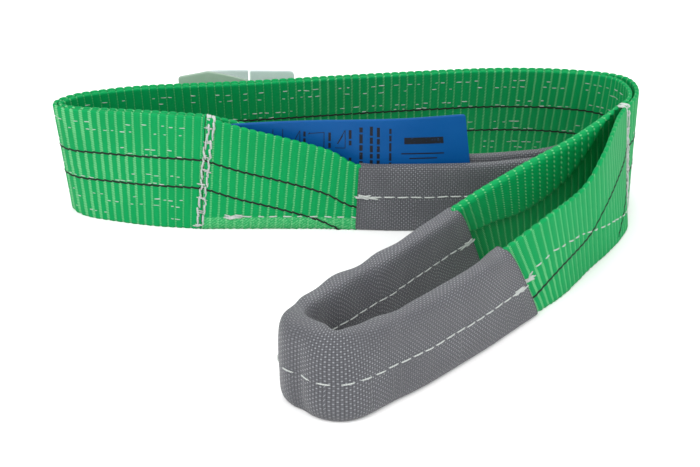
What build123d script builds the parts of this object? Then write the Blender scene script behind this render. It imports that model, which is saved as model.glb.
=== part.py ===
from build123d import *
import math
import os

# A flat lifting sling: two plies of 60 mm polyester webbing, sewn together along the body,
# with a soft eye at each end. It lies on the edges of its webbing, folded into a flat hairpin:
# a front run on the left, a long rear run, a tight bend at the right, and both eyes between.
# All lengths are millimetres. +X is right, +Y is towards the rear run, +Z is up.

# Webbing
web_width = 60.0
web_thick = 2.2
ply_gap = 0.3
ply_in = ply_gap / 2
ply_out = ply_in + web_thick
stripe_heights = (22.5, 37.5)
stripe_width = 1.4
thread_proud = 0.25

# Rows of stitching that join the two plies of the body, as heights on the webbing
stitch_heights = (7.0, 14.0, 17.5, 26.0, 30.5, 42.0, 46.0, 50.5, 54.0)
stitch_width = 0.8

# Eyes
strand_in = 0.05
strand_out = strand_in + web_thick
hem_seam_height = 7.0
hem_height = 24.0
hem_room = 34.0
tack_edge = 0.4
tack_length = 1.8
tack_pitch = 3.6
tack_proud = 0.45
tack_inset = 0.5

# Clear lengths left at the folds, which the webbing bends across
fold_gap = 5.0
left_tip_gap = 6.0
right_tip_gap = 12.0

# Wear sleeves
sleeve_wall = 0.7
left_sleeve_half = 3.0
right_sleeve_half = 5.5
left_corner = 1.6
right_corner = 3.4
hidden_low = 2.2
hidden_out = 1.9
seam_height = 19.0
seam_width = 0.9
seam_proud = 0.3
blob_width = 4.0
blob_length = 10.0
blob_proud = 0.5

# Identification label and the tag behind the rear run
label_thick = 0.45
mark_thick = 0.12
mark_width = 3.0
mark_first = 1.4
mark_step = 0.45
mark_count = 9
mark_heights = (30.0, 50.0)
tag_thick = 0.4
tag_low = 2.0
tag_gap = 0.4
tag_seam_width = 3.0
tag_seam_top = 6.0
tag_seam_depth = 0.9

# Middle of the floor space that the folded sling takes up
centre_x = -0.25
centre_y = -36.1

# Sections between two neighbouring stations
cuts = 4
to_top = 0.0

# Stations: ((x, y) of the lower edge, (x, y) of the upper edge, height of the upper edge).
# The outer side of the loop is always on the right-hand side of the direction of travel.
body_path = [
    ((133.2, 19.5), (127.6, 15.1), 60),
    ((136.0, 29.0), (134.2, 25.5), 60),
    ((136.9, 40.0), (137.0, 36.0), 60),
    ((134.5, 53.0), (135.6, 45.5), 60),
    ((127.0, 63.5), (129.5, 51.3), 60),
    ((112.0, 71.0), (115.0, 55.5), 60),
    ((90.0, 75.0), (92.0, 58.3), 60),
    ((60.0, 74.5), (60.0, 57.6), 60),
    ((0.0, 67.0), (0.0, 50.3), 60),
    ((-48.5, 59.5), (-48.5, 43.3), 60),
    ((-97.0, 52.0), (-97.0, 38.2), 60),
    ((-118.0, 46.5), (-119.0, 33.0), 60),
    ((-130.0, 39.5), (-132.0, 27.7), 60),
    ((-135.6, 28.5), (-138.6, 20.0), 60),
    ((-129.5, 19.6), (-132.0, 14.8), 60),
    ((-115.8, 14.4), (-116.0, 12.5), 60),
    ((-95.0, 9.2), (-93.0, 9.8), 60),
    ((-71.8, 6.25), (-67.0, 5.85), 60),
]
left_eye_path = [
    ((-71.8, 5.95), (-67.0, 5.55), 60),
    ((-56.0, 6.1), (-51.0, 6.0), 54.5),
    ((-36.0, 6.15), (-31.0, 6.1), 49),
    ((-15.0, 6.1), (-10.0, 6.0), 42.6),
    ((2.6, 5.2), (4.4, 5.2), 35.2),
    ((27.0, 4.1), (27.0, 4.1), 35),
    ((57.0, 5.2), (57.0, 5.2), 35),
    ((72.0, 6.6), (72.0, 6.6), 35.5),
    ((85.9, 8.7), (85.9, 8.7), 36),
    ((95.4, 11.0), (95.4, 11.0), 36),
    ((105.0, 15.0), (105.0, 15.0), 36),
    ((112.5, 19.6), (112.5, 19.6), 36),
    ((118.2, 25.0), (118.2, 25.0), 36),
    ((119.4, 29.8), (119.4, 29.8), 36),
    ((116.6, 33.2), (116.6, 33.2), 36),
    ((112.2, 32.0), (112.2, 32.0), 36),
    ((106.8, 26.6), (106.8, 26.6), 36),
    ((100.5, 21.9), (100.5, 21.9), 36),
    ((92.6, 18.3), (92.6, 18.3), 36),
    ((84.1, 16.4), (84.1, 16.4), 36),
    ((70.0, 14.2), (70.0, 14.2), 36),
    ((57.0, 12.9), (57.0, 12.9), 36),
    ((27.0, 11.9), (27.0, 11.9), 36),
    ((3.0, 12.3), (4.6, 12.3), 36),
    ((-15.0, 12.4), (-10.0, 12.4), 43),
    ((-36.0, 11.6), (-31.0, 11.6), 49),
    ((-56.0, 9.2), (-51.0, 9.2), 54.5),
    ((-71.8, 6.55), (-67.0, 6.15), 60),
]
right_eye_path = [
    ((133.0, 19.9), (127.2, 15.5), 60),
    ((118.0, 8.5), (113.0, 3.0), 56),
    ((104.0, 0.0), (100.0, -6.0), 52),
    ((84.0, -11.5), (79.0, -18.0), 46),
    ((69.0, -20.5), (60.0, -30.5), 40.5),
    ((58.0, -28.5), (46.5, -41.0), 36.5),
    ((36.0, -54.0), (31.0, -60.5), 36),
    ((15.5, -79.0), (13.0, -82.0), 36),
    ((-7.0, -104.0), (-8.0, -105.0), 37),
    ((-17.5, -119.0), (-17.5, -119.0), 38),
    ((-21.5, -129.5), (-21.5, -129.0), 38.5),
    ((-17.5, -139.0), (-17.0, -138.0), 39),
    ((-7.0, -144.5), (-7.0, -143.5), 39),
    ((4.5, -142.0), (4.0, -141.0), 39),
    ((20.0, -131.5), (19.0, -130.0), 38.5),
    ((38.0, -115.0), (36.5, -113.0), 38),
    ((58.0, -95.0), (55.0, -92.5), 38),
    ((80.5, -70.5), (65.0, -78.0), 38),
    ((95.0, -54.5), (84.5, -63.0), 45.5),
    ((109.8, -31.8), (102.5, -42.5), 48.5),
    ((119.8, -17.8), (112.0, -29.5), 57.5),
    ((127.0, -6.0), (118.0, -13.5), 60),
    ((132.4, 6.0), (123.8, 4.8), 60),
    ((133.4, 19.1), (128.0, 14.7), 60),
]
label_path = [
    ((-64.0, 6.3), (-60.0, 6.3), 55),
    ((-53.0, 7.6), (-50.0, 7.8), 55.5),
    ((-36.0, 8.85), (-34.0, 9.1), 56),
    ((-15.0, 9.2), (-14.0, 9.8), 56.5),
    ((3.0, 8.75), (3.0, 8.9), 57),
    ((27.0, 7.85), (27.0, 8.4), 57.5),
    ((56.0, 9.0), (54.0, 9.6), 58),
]
tag_path = [
    ((-84.0, 65.0), (-85.5, 60.5), 57),
    ((-66.0, 66.5), (-67.0, 61.0), 60),
    ((-50.0, 69.5), (-50.5, 64.0), 60),
    ((-28.0, 72.0), (-28.0, 66.5), 60),
]

# Places on the paths, counted in stations from the first one
body_end = len(body_path) - 1
left_end = len(left_eye_path) - 1
right_end = len(right_eye_path) - 1
right_bend = 2.0
left_bend = 13.0
left_sleeve = (4.0, 23.0)
left_tip_cuts = (6.3, 20.65)
left_stripe_end = 2.4
right_sleeve = (5.0, 17.0)
right_tip_cuts = (6.5, 15.75)
right_stripe_start = 20.0
tag_crease = 2.0


def shifted(station):
    """A station moved so that the middle of the floor space is the origin."""
    (low_x, low_y), (high_x, high_y), top = station
    low = (low_x - centre_x, low_y - centre_y, 0.0)
    high = (high_x - centre_x, high_y - centre_y, top)
    return low + high


def at(path, place):
    """Smooth curve through the stations: place 0 is the first one, 1 the second, and so on."""
    stations = [shifted(station) for station in path]
    start = max(0, min(int(place), len(path) - 2))
    share = place - start
    here = stations[start]
    there = stations[start + 1]
    before = stations[start - 1] if start else [2 * a - b for a, b in zip(here, there)]
    last = start + 2 == len(path)
    after = [2 * b - a for a, b in zip(here, there)] if last else stations[start + 2]
    point = []
    for p, a, b, q in zip(before, here, there, after):
        curve = (2 * p - 5 * a + 4 * b - q) * share ** 2 + (3 * a - p - 3 * b + q) * share ** 3
        point.append(a + 0.5 * ((b - p) * share + curve))
    return point


def section(path, place, corners):
    """Closed outline across a path. Corners are (height, depth), heights from 0 to the top edge."""
    step = 0.02
    ahead = at(path, place + step)
    behind = at(path, place - step)
    along_x = ahead[0] + ahead[3] - behind[0] - behind[3]
    along_y = ahead[1] + ahead[4] - behind[1] - behind[4]
    size = math.hypot(along_x, along_y)
    low_x, low_y, low_z, high_x, high_y, high_z = at(path, place)
    points = []
    for height, depth in corners(high_z):
        share = height / high_z
        x = low_x + share * (high_x - low_x) + depth * along_y / size
        y = low_y + share * (high_y - low_y) - depth * along_x / size
        points.append((x, y, height))
    return Wire.make_polygon(points, close=True)


def sweep_through(path, start, end, corners):
    """Solid through outlines at the two ends and at every regular place between them."""
    inner = [k / cuts for k in range(math.ceil(start * cuts), math.floor(end * cuts) + 1)]
    places = [start] + [k for k in inner if start + 0.01 < k < end - 0.01] + [end]
    return Solid.make_loft([section(path, place, corners) for place in places], ruled=True)


def strip(path, start, end, low, high, inside, outside):
    """Flat layer of a band. Negative heights, and an upper height of zero, count from the top edge."""
    def corners(top):
        bottom = low if low >= 0 else top + low
        upper = high if high > 0 else top + high
        return [(bottom, inside), (upper, inside), (upper, outside), (bottom, outside)]
    return sweep_through(path, min(start, end), max(start, end), corners)


def tube_outline(half, corner, base):
    """Outline of a flattened tube with its four corners cut off."""
    def corners(top):
        high = top - base
        return [
            (base, -half + corner), (base + corner, -half), (high - corner, -half),
            (high, -half + corner), (high, half - corner), (high - corner, half),
            (base + corner, half), (base, half - corner),
        ]
    return corners


def sleeve(path, start, end, half, corner):
    """Wear sleeve: a flattened tube that is open at both ends."""
    outer = sweep_through(path, start, end, tube_outline(half, corner, 0.0))
    room = tube_outline(half - sleeve_wall, corner - 0.3, sleeve_wall)
    return outer - sweep_through(path, start - 0.05, end + 0.05, room)


def length_to(path, place):
    """Length of the middle line from the first station to a place."""
    total = 0.0
    steps = 40
    for k in range(round(place * steps)):
        one = at(path, k / steps)
        two = at(path, (k + 1) / steps)
        total += math.hypot(two[0] + two[3] - one[0] - one[3], two[1] + two[4] - one[1] - one[4]) / 2
    return total


def place_at(path, distance):
    """The place that lies this far along the middle line."""
    low = 0.0
    high = float(len(path) - 1)
    for _ in range(14):
        middle = (low + high) / 2
        if length_to(path, middle) < distance:
            low = middle
        else:
            high = middle
    return low


def moved(path, place, distance):
    """A place moved along its path by a distance."""
    return place_at(path, length_to(path, place) + distance)


def rows(path, start, end, heights, width, inside, outside):
    """One thin raised strip for each row of thread."""
    solids = []
    for height in heights:
        low = height - width / 2
        solids.append(strip(path, start, end, low, low + width, inside, outside))
    return solids


def both_faces(path, start, end, heights, width):
    """The same rows of thread on the outer and the inner face of the body."""
    proud = ply_out + thread_proud
    outer = rows(path, start, end, heights, width, ply_out, proud)
    inner = rows(path, start, end, heights, width, -proud, -ply_out)
    return outer + inner


def bar_tack(place, towards):
    """Two lines of dense thread through both plies of the body, standing proud of both faces."""
    solids = []
    proud = ply_out + tack_proud
    top = web_width - tack_inset
    for row in range(2):
        near = moved(body_path, place, towards * (tack_edge + row * tack_pitch))
        far = moved(body_path, near, towards * tack_length)
        for inside, outside in ((ply_out, proud), (-proud, -ply_out)):
            solids.append(strip(body_path, near, far, tack_inset, top, inside, outside))
    return solids


def body_run(name, start, end, thread_start, thread_end):
    """Two plies between two places on the body, with their marker threads and stitching."""
    outer = strip(body_path, start, end, 0, web_width, ply_in, ply_out)
    inner = strip(body_path, start, end, 0, web_width, -ply_out, -ply_in)
    span = (body_path, thread_start, thread_end)
    parts[name + "_outer_ply"] = [outer]
    parts[name + "_inner_ply"] = [inner]
    parts[name + "_marker_threads"] = both_faces(*span, stripe_heights, stripe_width)
    parts[name + "_stitching"] = both_faces(*span, stitch_heights, stitch_width)


def strand_web(path, tack, mouth, cut):
    """Eye strand: full height as far as the sleeve's mouth, and a little less inside the sleeve."""
    shown = strip(path, tack, mouth, 0, to_top, strand_in, strand_out)
    hidden = strip(path, mouth, cut, hidden_low, -hidden_low, strand_in, hidden_out)
    return [shown, hidden]


def hem(path, tack, mouth, cut, low, high):
    """Edge of an eye strand, folded over onto the strand's inner face and run into the sleeve."""
    start = moved(path, tack, hem_room if tack < mouth else -hem_room)
    shown = strip(path, start, mouth, low, high, -strand_out, -strand_in)
    hidden = strip(path, mouth, cut, hidden_low, hem_height, -hidden_out, -strand_in)
    return [shown, hidden]


def strand_stripe(path, start, end, height):
    """Marker thread on an eye strand. The lower edge is folded, so it is set from the top edge."""
    low = height - web_width - stripe_width / 2
    return strip(path, start, end, low, low + stripe_width, strand_out, strand_out + thread_proud)


def hem_seam(path, tack, mouth):
    """Thread that holds the folded edge, on the strand's outer face."""
    start = moved(path, tack, hem_room if tack < mouth else -hem_room)
    low = hem_seam_height - stitch_width / 2
    proud = strand_out + thread_proud
    return strip(path, start, mouth, low, low + stitch_width, strand_out, proud)


def sleeve_blob(path, mouth, towards, half):
    """Short bar-tack that ties a sleeve's mouth to the webbing."""
    end = moved(path, mouth, towards * blob_length)
    low = seam_height - blob_width / 2
    return strip(path, mouth, end, low, low + blob_width, half, half + blob_proud)


def sleeve_seam(path, start, end, half):
    """Running stitch along the middle of a sleeve's outer face."""
    low = seam_height - seam_width / 2
    return strip(path, start, end, low, low + seam_width, half, half + seam_proud)


def eye(name, path, strands, tip_cuts, gap, half, corner):
    """One soft eye: two sleeved strands, and the tip that closes the loop."""
    for strand_name, tack, mouth, cut, hem_low, hem_high in strands:
        towards = 1 if mouth > tack else -1
        start = moved(path, tack, towards * fold_gap)
        end = moved(path, cut, -towards * gap / 2)
        seam_start = moved(path, mouth, towards * (blob_length + 1.0))
        parts[strand_name + "_strand"] = strand_web(path, start, mouth, end)
        parts[strand_name + "_hem"] = hem(path, tack, mouth, end, hem_low, hem_high)
        parts[strand_name + "_sleeve"] = [sleeve(path, min(mouth, end), max(mouth, end), half, corner)]
        parts[strand_name + "_sleeve_tack"] = [sleeve_blob(path, mouth, towards, half)]
        parts[strand_name + "_sleeve_seam"] = [sleeve_seam(path, seam_start, end, half)]
    first = moved(path, tip_cuts[0], gap / 2)
    last = moved(path, tip_cuts[1], -gap / 2)
    tip_web = strip(path, first, last, hidden_low, -hidden_low, strand_in, hidden_out)
    tip_hem = strip(path, first, last, hidden_low, hem_height, -hidden_out, -strand_in)
    parts[name + "_tip_web"] = [tip_web]
    parts[name + "_tip_hem"] = [tip_hem]
    parts[name + "_tip_sleeve"] = [sleeve(path, first, last, half, corner)]
    parts[name + "_tip_seam"] = [sleeve_seam(path, first, last, half)]


def left_threads():
    """Marker threads and hem seam on the front strand of the left eye."""
    path = left_eye_path
    start = moved(path, 0.0, fold_gap)
    mouth = left_sleeve[0]
    upper = strand_stripe(path, start, mouth, stripe_heights[1])
    lower = strand_stripe(path, start, left_stripe_end, stripe_heights[0])
    parts["left_front_marker"] = [upper, lower]
    parts["left_front_hem_seam"] = [hem_seam(path, 0.0, mouth)]


def right_threads():
    """Marker threads and hem seam on the near strand of the right eye."""
    path = right_eye_path
    start = moved(path, right_end, -fold_gap)
    mouth = right_sleeve[1]
    upper = strand_stripe(path, start, mouth, stripe_heights[1])
    lower = strand_stripe(path, start, right_stripe_start, stripe_heights[0])
    parts["right_near_marker"] = [upper, lower]
    parts["right_near_hem_seam"] = [hem_seam(path, right_end, mouth)]


def label():
    """Identification label with plain columns of print on its front face."""
    last = len(label_path) - 1
    half = label_thick / 2
    parts["label_sheet"] = [strip(label_path, 0, last, 1.0, to_top, -half, half)]
    marks = []
    for column in range(mark_count):
        start = mark_first + column * mark_step
        end = moved(label_path, start, mark_width)
        marks.append(strip(label_path, start, end, *mark_heights, half, half + mark_thick))
    parts["label_print"] = marks


def rear_tag():
    """Folded tag: two leaves that meet at a seam on the outer ply of the rear run."""
    last = len(tag_path) - 1
    crease_left = moved(tag_path, tag_crease, -tag_gap)
    crease_right = moved(tag_path, tag_crease, tag_gap)
    seam_start = moved(tag_path, crease_left, -tag_seam_width)
    half = tag_thick / 2
    left = strip(tag_path, 0, crease_left, tag_low, to_top, -half, half)
    right = strip(tag_path, crease_right, last, tag_low, to_top, -half, half)
    reach = half + tag_seam_depth
    seam = strip(tag_path, seam_start, crease_left, tag_low, tag_seam_top, half, reach)
    parts["tag_left_leaf"] = [left]
    parts["tag_right_leaf"] = [right]
    parts["tag_seam"] = [seam]


parts = {}
tack_room = tack_edge + tack_pitch + tack_length + 0.4
right_bend_low = moved(body_path, right_bend, -fold_gap / 2)
right_bend_high = moved(body_path, right_bend, fold_gap / 2)
left_bend_low = moved(body_path, left_bend, -fold_gap / 2)
left_bend_high = moved(body_path, left_bend, fold_gap / 2)
right_tack_inner = moved(body_path, 0.0, tack_room)
left_tack_inner = moved(body_path, body_end, -tack_room)

body_run("rear", right_bend_high, left_bend_low, right_bend_high, left_bend_low)
body_run("left_run", left_bend_high, body_end, left_bend_high, left_tack_inner)
body_run("right_run", 0.0, right_bend_low, right_tack_inner, right_bend_low)
parts["left_bar_tack"] = bar_tack(body_end, -1)
parts["right_bar_tack"] = bar_tack(0.0, 1)

left_strands = (
    ("left_front", 0.0, left_sleeve[0], left_tip_cuts[0], 0.0, hem_height),
    ("left_rear", left_end, left_sleeve[1], left_tip_cuts[1], 0.0, hem_height),
)
right_strands = (
    ("right_far", 0.0, right_sleeve[0], right_tip_cuts[0], -hem_height, to_top),
    ("right_near", right_end, right_sleeve[1], right_tip_cuts[1], 0.0, hem_height),
)
eye("left_eye", left_eye_path, left_strands, left_tip_cuts, left_tip_gap, left_sleeve_half, left_corner)
eye(
    "right_eye", right_eye_path, right_strands, right_tip_cuts, right_tip_gap,
    right_sleeve_half, right_corner,
)
left_threads()
right_threads()
label()
rear_tag()

os.makedirs("parts", exist_ok=True)
for name, solids in parts.items():
    export_step(Compound(children=solids), "parts/" + name + ".step")

whole = Compound(children=[solid for solids in parts.values() for solid in solids]).bounding_box()
print("nodes", len(parts))
print("box", whole.min, whole.max)
print("middle", whole.center())
for name, path, place in (
    ("left bend", body_path, left_bend), ("right bend", body_path, right_bend),
    ("left tack", left_eye_path, moved(left_eye_path, 0.0, fold_gap / 2)),
    ("right tack", right_eye_path, moved(right_eye_path, right_end, -fold_gap / 2)),
    ("left tip, front", left_eye_path, left_tip_cuts[0]),
    ("left tip, rear", left_eye_path, left_tip_cuts[1]),
    ("right tip, far", right_eye_path, right_tip_cuts[0]),
    ("right tip, near", right_eye_path, right_tip_cuts[1]),
    ("tag crease", tag_path, tag_crease),
):
    low_x, low_y, _, high_x, high_y, _ = at(path, place)
    print(name, "hinge near", round((low_x + high_x) / 2, 1), round((low_y + high_y) / 2, 1))
print("body length", round(length_to(body_path, body_end), 1))
print("left eye length round", round(length_to(left_eye_path, left_end), 1))
print("right eye length round", round(length_to(right_eye_path, right_end), 1))
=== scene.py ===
"""Looks of the flat web sling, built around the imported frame.

Everything is set out in millimetres in the frame's own axes and turned into metres when a mesh is made.
"""

import math

import bpy
import mathutils
import numpy as np
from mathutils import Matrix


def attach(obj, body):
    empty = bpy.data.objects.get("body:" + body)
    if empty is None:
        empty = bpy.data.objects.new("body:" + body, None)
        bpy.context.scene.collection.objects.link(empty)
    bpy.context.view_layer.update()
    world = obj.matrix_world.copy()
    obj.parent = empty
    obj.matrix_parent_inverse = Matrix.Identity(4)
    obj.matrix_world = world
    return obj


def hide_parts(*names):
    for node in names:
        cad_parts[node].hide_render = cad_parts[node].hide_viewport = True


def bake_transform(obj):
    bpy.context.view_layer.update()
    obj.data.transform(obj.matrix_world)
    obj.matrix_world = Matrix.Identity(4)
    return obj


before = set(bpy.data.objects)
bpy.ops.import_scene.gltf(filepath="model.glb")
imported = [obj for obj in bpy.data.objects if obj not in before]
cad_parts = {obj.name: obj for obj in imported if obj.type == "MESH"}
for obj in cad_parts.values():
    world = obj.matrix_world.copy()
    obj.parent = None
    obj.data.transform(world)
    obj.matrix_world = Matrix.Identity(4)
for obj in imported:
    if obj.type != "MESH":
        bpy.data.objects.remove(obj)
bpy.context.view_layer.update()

MM = 0.001

# Webbing
web_width = 60.0
web_thick = 2.2
ply_depth = 1.25
rib_pitch = 3.95
rib_rise = 0.34
edge_rise = 0.62
stripe_heights = (22.5, 37.5)
marker_radius = 0.5
stitch_share = 0.46
knot_length = 7.0
knot_height = 1.6
stitch_heights = (5.0, 11.5, 15.0, 23.6, 28.0, 38.6, 41.5, 50.0, 54.0)

# Eyes and wear sleeves
strand_depth = 1.15
fold_radius = 1.25
hem_height = 7.0
left_sleeve_half = 3.0
right_sleeve_half = 5.5
sleeve_wall = 0.7
seam_height = 19.0

# The least height of webbing and threads over the floor
floor_gap = 0.02

# Label and tag
cloth_thick = 0.4
label_wave = 0.25
label_seed = 81
ink_thick = 0.07
sheet_rows = 52
leaf_gap = 0.25
leaf_wave = 0.3
leaf_low = 2.0
diagonal = 15.0
tab_height = 13.4

# Middle of the floor space in the layout's own numbers, which is the frame's origin
centre = np.array([-0.25, -36.1])

# Stations: (x, y) of the lower edge, (x, y) of the upper edge, height of the upper edge.
# The outer side of the loop is on the right-hand side of the direction of travel.
body_stations = [
    (133.2, 19.5, 127.6, 15.1, 60),
    (136.0, 29.0, 134.2, 25.5, 60),
    (136.9, 40.0, 137.0, 36.0, 60),
    (134.5, 53.0, 135.6, 45.5, 60),
    (127.0, 63.5, 129.5, 51.3, 60),
    (112.0, 71.0, 115.0, 55.5, 60),
    (90.0, 75.0, 92.0, 58.3, 60),
    (60.0, 74.5, 60.0, 57.6, 60),
    (0.0, 67.0, 0.0, 50.3, 60),
    (-48.5, 59.5, -48.5, 43.3, 60),
    (-97.0, 52.0, -97.0, 38.2, 60),
    (-118.0, 46.5, -119.0, 33.0, 60),
    (-130.0, 39.5, -132.0, 27.7, 60),
    (-135.6, 28.5, -138.6, 20.0, 60),
    (-129.5, 19.6, -132.0, 14.8, 60),
    (-115.8, 14.4, -116.0, 12.5, 60),
    (-95.0, 9.2, -93.0, 9.8, 60),
    (-71.8, 6.25, -67.0, 5.85, 60),
]
left_eye_stations = [
    (-71.8, 5.95, -67.0, 5.55, 60),
    (-56.0, 6.1, -51.0, 6.0, 54.5),
    (-36.0, 6.15, -31.0, 6.1, 49),
    (-15.0, 6.1, -10.0, 6.0, 42.6),
    (2.6, 5.2, 4.4, 5.2, 35.2),
    (27.0, 4.1, 27.0, 4.1, 35),
    (57.0, 5.2, 57.0, 5.2, 35),
    (72.0, 6.6, 72.0, 6.6, 35.5),
    (85.9, 8.7, 85.9, 8.7, 36),
    (95.4, 11.0, 95.4, 11.0, 36),
    (105.0, 15.0, 105.0, 15.0, 36),
    (112.5, 19.6, 112.5, 19.6, 36),
    (118.2, 25.0, 118.2, 25.0, 36),
    (119.4, 29.8, 119.4, 29.8, 36),
    (116.6, 33.2, 116.6, 33.2, 36),
    (112.2, 32.0, 112.2, 32.0, 36),
    (106.8, 26.6, 106.8, 26.6, 36),
    (100.5, 21.9, 100.5, 21.9, 36),
    (92.6, 18.3, 92.6, 18.3, 36),
    (84.1, 16.4, 84.1, 16.4, 36),
    (70.0, 14.2, 70.0, 14.2, 36),
    (57.0, 12.9, 57.0, 12.9, 36),
    (27.0, 11.9, 27.0, 11.9, 36),
    (3.0, 12.3, 4.6, 12.3, 36),
    (-15.0, 12.4, -10.0, 12.4, 43),
    (-36.0, 11.6, -31.0, 11.6, 49),
    (-56.0, 9.2, -51.0, 9.2, 54.5),
    (-71.8, 6.55, -67.0, 6.15, 60),
]
right_eye_stations = [
    (133.0, 19.9, 127.2, 15.5, 60),
    (118.0, 8.5, 113.0, 3.0, 56),
    (104.0, 0.0, 100.0, -6.0, 52),
    (84.0, -11.5, 79.0, -18.0, 46),
    (69.0, -20.5, 60.0, -30.5, 40.5),
    (58.0, -28.5, 46.5, -41.0, 36.5),
    (36.0, -54.0, 31.0, -60.5, 36),
    (15.5, -79.0, 13.0, -82.0, 36),
    (-7.0, -104.0, -8.0, -105.0, 37),
    (-17.5, -119.0, -17.5, -119.0, 38),
    (-21.5, -129.5, -21.5, -129.0, 38.5),
    (-17.5, -139.0, -17.0, -138.0, 39),
    (-7.0, -144.5, -7.0, -143.5, 39),
    (4.5, -142.0, 4.0, -141.0, 39),
    (20.0, -131.5, 19.0, -130.0, 38.5),
    (38.0, -115.0, 36.5, -113.0, 38),
    (58.0, -95.0, 55.0, -92.5, 38),
    (80.5, -70.5, 65.0, -78.0, 38),
    (95.0, -54.5, 84.5, -63.0, 45.5),
    (109.8, -31.8, 102.5, -42.5, 48.5),
    (119.8, -17.8, 112.0, -29.5, 57.5),
    (127.0, -6.0, 118.0, -13.5, 60),
    (132.4, 6.0, 123.8, 4.8, 60),
    (133.4, 19.1, 128.0, 14.7, 60),
]
label_stations = [
    (-64.0, 6.3, -60.0, 6.3, 55),
    (-53.0, 7.6, -50.0, 7.8, 55.1),
    (-36.0, 8.85, -34.0, 9.1, 55.4),
    (-15.0, 9.2, -14.0, 9.8, 55.8),
    (3.0, 8.75, 3.0, 8.9, 56.4),
    (28.0, 7.95, 27.0, 8.4, 57.4),
    (61.0, 9.5, 54.0, 9.6, 59),
]
tag_stations = [
    (-84.0, 65.0, -85.5, 60.5, 57),
    (-66.0, 66.5, -67.0, 61.0, 60),
    (-50.0, 69.5, -50.5, 64.0, 60),
    (-28.0, 72.0, -28.0, 66.5, 60),
]
tab_stations = [
    (-74.0, 57.9, -74.0, 43.0, 60),
    (-66.0, 59.3, -66.0, 44.1, 60),
    (-61.0, 61.9, -61.0, 49.0, 60),
    (-57.0, 66.3, -57.0, 57.5, 60),
    (-52.5, 68.7, -52.5, 63.0, 60),
]

# Places on the bands, counted in stations from the first one
left_mouths = (4.0, 23.0)
right_mouths = (5.0, 17.0)
rear_split = 8.0


class Band:
    """A band on its edge: lower and upper edge lines through listed stations, measured by length."""

    fine = 48

    def __init__(self, stations):
        points = np.array(stations, float)
        points[:, 0:2] -= centre
        points[:, 2:4] -= centre
        first = 2 * points[0] - points[1]
        last = 2 * points[-1] - points[-2]
        padded = np.vstack([first, points, last])
        places = np.arange((len(points) - 1) * self.fine + 1) / self.fine
        start = np.minimum(places.astype(int), len(points) - 2)
        share = (places - start)[:, None]
        p, a, b, q = (padded[start + k] for k in range(4))
        curve = (2 * p - 5 * a + 4 * b - q) * share ** 2 + (3 * a - p - 3 * b + q) * share ** 3
        self.line = a + 0.5 * ((b - p) * share + curve)
        middle = (self.line[:, 0:2] + self.line[:, 2:4]) / 2
        steps = np.hypot(*np.diff(middle, axis=0).T)
        self.lengths = np.concatenate([[0], np.cumsum(steps)])
        along = np.gradient(middle, axis=0)
        along /= np.linalg.norm(along, axis=1)[:, None]
        self.normals = np.stack([along[:, 1], -along[:, 0]], axis=1)
        self.places = places
        self.total = self.lengths[-1]

    def length_at(self, place):
        return float(np.interp(place, self.places, self.lengths))

    def top(self, length):
        return np.interp(length, self.lengths, self.line[:, 4])

    def point(self, length, height, depth):
        """Points in millimetres at lengths along the band, heights over the floor and depths outwards."""
        row = [np.interp(length, self.lengths, self.line[:, k]) for k in range(5)]
        normal = [np.interp(length, self.lengths, self.normals[:, k]) for k in range(2)]
        share = height / row[4]
        x = row[0] + share * (row[2] - row[0]) + depth * normal[0]
        y = row[1] + share * (row[3] - row[1]) + depth * normal[1]
        return np.stack(np.broadcast_arrays(x, y, height), axis=-1)

    def normal(self, length):
        pair = [np.interp(length, self.lengths, self.normals[:, k]) for k in range(2)]
        flat = np.stack([pair[0], pair[1], np.zeros_like(pair[0])], axis=-1)
        return flat / np.linalg.norm(flat, axis=-1, keepdims=True)


body = Band(body_stations)
left_eye = Band(left_eye_stations)
right_eye = Band(right_eye_stations)
label_band = Band(label_stations)
tag_band = Band(tag_stations)
crease = tag_band.length_at(2.0)
tab_band = Band(tab_stations)


# ---------------------------------------------------------------- meshes


def add_mesh(name, points, faces, uvs=None, smooth=True):
    """New object from points in millimetres, faces, and one UV pair for each point."""
    mesh = bpy.data.meshes.new(name)
    mesh.from_pydata((np.asarray(points) * MM).tolist(), [], faces)
    mesh.validate()
    if uvs is not None:
        layer = mesh.uv_layers.new(name="cloth")
        corner = np.zeros(len(mesh.loops), np.int32)
        mesh.loops.foreach_get("vertex_index", corner)
        layer.data.foreach_set("uv", np.asarray(uvs, np.float32)[corner].ravel())
    mesh.polygons.foreach_set("use_smooth", [smooth] * len(mesh.polygons))
    piece = bpy.data.objects.new(name, mesh)
    bpy.context.scene.collection.objects.link(piece)
    return piece


def dress(piece, material, nodes=(), bend=None, body_name=None):
    """Material in a slot, the CAD nodes it stands for hidden, and what it moves with; a piece given a bend
    has its place baked in instead.
    """
    piece.data.materials.append(material)
    if nodes:
        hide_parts(*nodes)
    if bend:
        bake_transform(piece)
    else:
        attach(piece, body_name)


def ring_faces(rings, around):
    """Quads of a tube made of rings of points."""
    faces = []
    for i in range(rings - 1):
        for j in range(around):
            k = (j + 1) % around
            a = i * around
            b = a + around
            faces.append((a + j, a + k, b + k, b + j))
    return faces


def bar_faces(rings, around, base):
    """Faces of a bar made of rings of points and closed at both ends, its points counted from base."""
    first = range(around - 1, -1, -1)
    last = range((rings - 1) * around, rings * around)
    return [tuple(base + k for k in face) for face in (*ring_faces(rings, around), first, last)]


def grids(one, two):
    """Two arrays of decimals in one shared shape."""
    return np.broadcast_arrays(np.asarray(one, float), np.asarray(two, float))


def over_floor(points):
    """Points in millimetres, none of them below the floor."""
    points[..., 2] = np.maximum(points[..., 2], floor_gap)
    return points


def ribs(lengths):
    """0 in the groove between two ribs and 1 on a rib's crown."""
    across = 2 * (lengths / rib_pitch % 1) - 1
    return 1 - np.abs(across) ** 3.2


def straight(band, lengths, widths):
    """Heights and inward turns of webbing that stands straight; widths count from its upper edge."""
    heights = band.top(lengths) - widths
    return heights, np.zeros_like(heights)


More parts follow.
